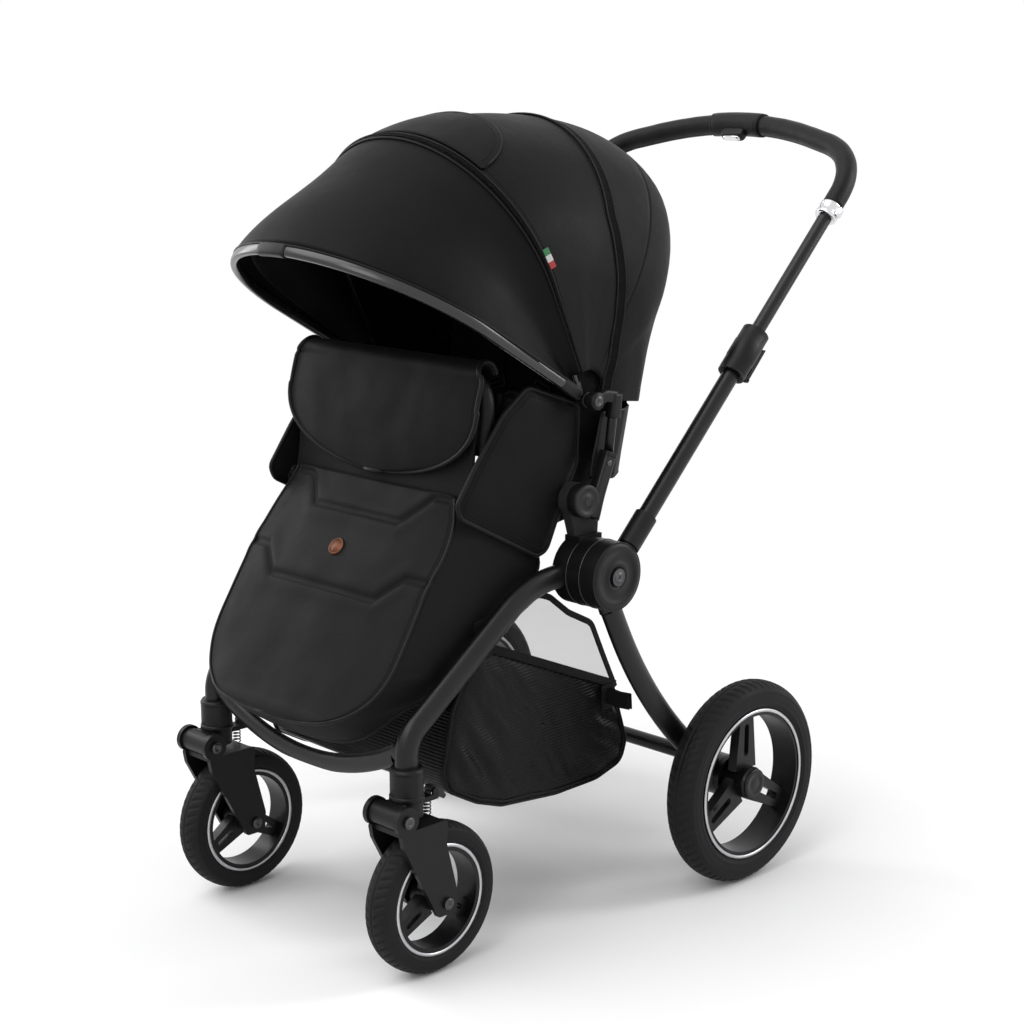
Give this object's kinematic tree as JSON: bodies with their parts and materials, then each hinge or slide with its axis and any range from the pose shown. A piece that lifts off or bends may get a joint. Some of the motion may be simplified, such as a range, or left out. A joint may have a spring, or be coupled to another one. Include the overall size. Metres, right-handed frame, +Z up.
{
  "type": "baby stroller",
  "caption": "Pushchair with folding frame, swivelling front casters, spoked wheels, extending handle, reclining hooded seat, footmuff, bumper bar, brake and storage basket.",
  "frame": {"origin": "on the ground at the centre of the footprint", "axes": "+Z is up, -Y points to the front of the stroller, +X is towards its left-hand side for a child sitting in it"},
  "size_m": [0.6374, 0.9859, 1.1037],
  "materials": {
    "frame_black": "matt black powder coat",
    "plastic_black": "fine grained black plastic",
    "plastic_grey": "dark grey satin plastic",
    "steel_dark": "darkened steel",
    "tyre_rubber": "black rubber with a fine tread",
    "rim_black": "satin black with a bright edge ring",
    "chrome_trim": "polished",
    "leather_black": "stitched leather-look wrap",
    "shell_fabric": "smooth softshell with soft highlights",
    "bow_gloss": "glossy black",
    "lining_fabric": "quilted dark lining",
    "basket_fabric": "ribbed black weave with mesh panels",
    "webbing": "woven webbing"
  },
  "bodies": {
    "chassis": {"front_leg_left": "frame_black", "front_leg_right": "frame_black", "front_crossbar": "frame_black", "hub_cores": "plastic_black", "hub_bolts": "steel_dark", "swivel_sleeves": "plastic_black", "basket": "basket_fabric", "basket_straps": "webbing"},
    "rear_frame": {"rear_leg_left": "frame_black", "rear_leg_right": "frame_black", "rear_cross_bar": "frame_black", "rear_axles": "steel_dark"},
    "brake_pedal": {"brake_pedal": "plastic_black"},
    "brake_pin_left": {"brake_pin_left": "steel_dark"},
    "brake_pin_right": {"brake_pin_right": "steel_dark"},
    "rear_wheel_left": {"tyre_rear_left": "tyre_rubber", "rim_rear_left": "rim_black"},
    "rear_wheel_right": {"tyre_rear_right": "tyre_rubber", "rim_rear_right": "rim_black"},
    "handle_lower": {"handle_sockets": "plastic_black", "handle_lower_tubes": "frame_black", "handle_clamps": "plastic_black"},
    "clamp_lever_left": {"clamp_lever_left": "plastic_black"},
    "clamp_lever_right": {"clamp_lever_right": "plastic_black"},
    "handle_upper": {"handle_bar": "frame_black", "grip_wrap": "leather_black", "grip_pad": "leather_black", "grip_collars": "chrome_trim"},
    "fold_button": {"fold_button": "chrome_trim"},
    "seat_base": {"seat_sides": "plastic_grey", "seat_pan": "plastic_black", "seat_cushion": "lining_fabric", "side_wings": "shell_fabric", "footmuff": "shell_fabric"},
    "legrest": {"legrest": "plastic_black"},
    "bumper": {"bumper_bar": "leather_black", "footmuff_flap": "shell_fabric"},
    "backrest": {"back_arms": "frame_black", "back_board": "plastic_grey", "back_pad": "lining_fabric", "canopy_rear": "shell_fabric", "harness": "webbing"},
    "canopy_middle": {"canopy_mid": "shell_fabric", "canopy_mid_bow": "bow_gloss"},
    "canopy_front": {"canopy_visor": "shell_fabric", "canopy_front_bow": "bow_gloss"},
    "caster_left": {"caster_knuckle_left": "plastic_black", "fork_spring_left": "steel_dark"},
    "swivel_lock_left": {"swivel_lock_left": "plastic_grey"},
    "fork_left": {"fork_left": "plastic_black", "fork_bolts_left": "steel_dark"},
    "front_wheel_left": {"tyre_front_left": "tyre_rubber", "rim_front_left": "rim_black"},
    "caster_right": {"caster_knuckle_right": "plastic_black", "fork_spring_right": "steel_dark"},
    "swivel_lock_right": {"swivel_lock_right": "plastic_grey"},
    "fork_right": {"fork_right": "plastic_black", "fork_bolts_right": "steel_dark"},
    "front_wheel_right": {"tyre_front_right": "tyre_rubber", "rim_front_right": "rim_black"}
  },
  "joints": [
    {"name": "handle_fold", "type": "hinge", "parent": "chassis", "child": "handle_lower", "pos_m": [0, -0.1092, 0.498], "axis": [1, 0, 0], "range_deg": [0, 140]},
    {"name": "rear_fold", "type": "hinge", "parent": "chassis", "child": "rear_frame", "pos_m": [0, -0.1092, 0.498], "axis": [1, 0, 0], "range_deg": [-35, 0], "deforming": ["basket_straps"]},
    {"name": "handle_extend", "type": "slide", "parent": "handle_lower", "child": "handle_upper", "axis": [0, -0.7071, -0.7071], "range_m": [0, 0.06]},
    {"name": "fold_button_press", "type": "slide", "parent": "handle_upper", "child": "fold_button", "axis": [0, 0.7071, 0.7071], "range_m": [0, 0.004], "stiffness_N_per_m": 600, "springref_m": -0.001},
    {"name": "clamp_lever_left_open", "type": "hinge", "parent": "handle_lower", "child": "clamp_lever_left", "pos_m": [-0.2624, 0.16304, 0.73488], "axis": [1, 0, 0], "range_deg": [-70, 0]},
    {"name": "clamp_lever_right_open", "type": "hinge", "parent": "handle_lower", "child": "clamp_lever_right", "pos_m": [0.2624, 0.16304, 0.73488], "axis": [1, 0, 0], "range_deg": [-70, 0]},
    {"name": "caster_left_swivel", "type": "hinge", "parent": "chassis", "child": "caster_left", "pos_m": [-0.202, -0.4252, 0.249], "axis": [0, 0, 1], "continuous": true},
    {"name": "swivel_lock_left_release", "type": "hinge", "parent": "caster_left", "child": "swivel_lock_left", "pos_m": [-0.202, -0.3832, 0.252], "axis": [1, 0, 0], "range_deg": [0, 35]},
    {"name": "suspension_left", "type": "hinge", "parent": "caster_left", "child": "fork_left", "pos_m": [-0.202, -0.4532, 0.2325], "axis": [1, 0, 0], "range_deg": [0, 6], "stiffness_Nm_per_rad": 40, "springref_deg": -5.73, "deforming": ["fork_spring_left"]},
    {"name": "front_wheel_left_spin", "type": "hinge", "parent": "fork_left", "child": "front_wheel_left", "pos_m": [-0.202, -0.3862, 0.103], "axis": [1, 0, 0], "continuous": true},
    {"name": "rear_wheel_left_spin", "type": "hinge", "parent": "rear_frame", "child": "rear_wheel_left", "pos_m": [-0.293, 0.1468, 0.15], "axis": [1, 0, 0], "continuous": true},
    {"name": "caster_right_swivel", "type": "hinge", "parent": "chassis", "child": "caster_right", "pos_m": [0.202, -0.4252, 0.249], "axis": [0, 0, 1], "continuous": true},
    {"name": "swivel_lock_right_release", "type": "hinge", "parent": "caster_right", "child": "swivel_lock_right", "pos_m": [0.202, -0.3832, 0.252], "axis": [1, 0, 0], "range_deg": [0, 35]},
    {"name": "suspension_right", "type": "hinge", "parent": "caster_right", "child": "fork_right", "pos_m": [0.202, -0.4532, 0.2325], "axis": [1, 0, 0], "range_deg": [0, 6], "stiffness_Nm_per_rad": 40, "springref_deg": -5.73, "deforming": ["fork_spring_right"]},
    {"name": "front_wheel_right_spin", "type": "hinge", "parent": "fork_right", "child": "front_wheel_right", "pos_m": [0.202, -0.3862, 0.103], "axis": [1, 0, 0], "continuous": true},
    {"name": "rear_wheel_right_spin", "type": "hinge", "parent": "rear_frame", "child": "rear_wheel_right", "pos_m": [0.293, 0.1468, 0.15], "axis": [1, 0, 0], "continuous": true},
    {"name": "brake_pedal_press", "type": "hinge", "parent": "rear_frame", "child": "brake_pedal", "pos_m": [0, 0.09969, 0.18737], "axis": [1, 0, 0], "range_deg": [-25, 0]},
    {"name": "brake_pin_left_slide", "type": "slide", "parent": "rear_frame", "child": "brake_pin_left", "axis": [-1, 0, 0], "range_m": [0, 0.007]},
    {"name": "brake_pin_right_slide", "type": "slide", "parent": "rear_frame", "child": "brake_pin_right", "axis": [1, 0, 0], "range_m": [0, 0.007]},
    {"name": "seat_lift", "type": "slide", "parent": "chassis", "child": "seat_base", "axis": [0, 0, 1], "range_m": [0, 0.08]},
    {"name": "bumper_release", "type": "slide", "parent": "seat_base", "child": "bumper", "axis": [0, 0, 1], "range_m": [0, 0.06]},
    {"name": "legrest_tilt", "type": "hinge", "parent": "seat_base", "child": "legrest", "pos_m": [0, -0.2992, 0.559], "axis": [1, 0, 0], "range_deg": [-40, 0], "deforming": ["footmuff"]},
    {"name": "recline", "type": "hinge", "parent": "seat_base", "child": "backrest", "pos_m": [0, -0.1262, 0.598], "axis": [1, 0, 0], "range_deg": [-45, 0]},
    {"name": "canopy_mid_fold", "type": "hinge", "parent": "backrest", "child": "canopy_middle", "pos_m": [0, -0.1042, 0.73], "axis": [1, 0, 0], "range_deg": [-48, 0], "deforming": ["canopy_mid"]},
    {"name": "canopy_front_fold", "type": "hinge", "parent": "canopy_middle", "child": "canopy_front", "pos_m": [0, -0.1042, 0.73], "axis": [1, 0, 0], "range_deg": [-28, 0], "deforming": ["canopy_visor"]}
  ],
  "couplings": [
    {"joint": "rear_fold", "follows": "handle_fold", "ratio": -0.25},
    {"joint": "brake_pin_left_slide", "follows": "brake_pedal_press", "m_per_rad": -0.01604},
    {"joint": "brake_pin_right_slide", "follows": "brake_pedal_press", "m_per_rad": -0.01604}
  ]
}
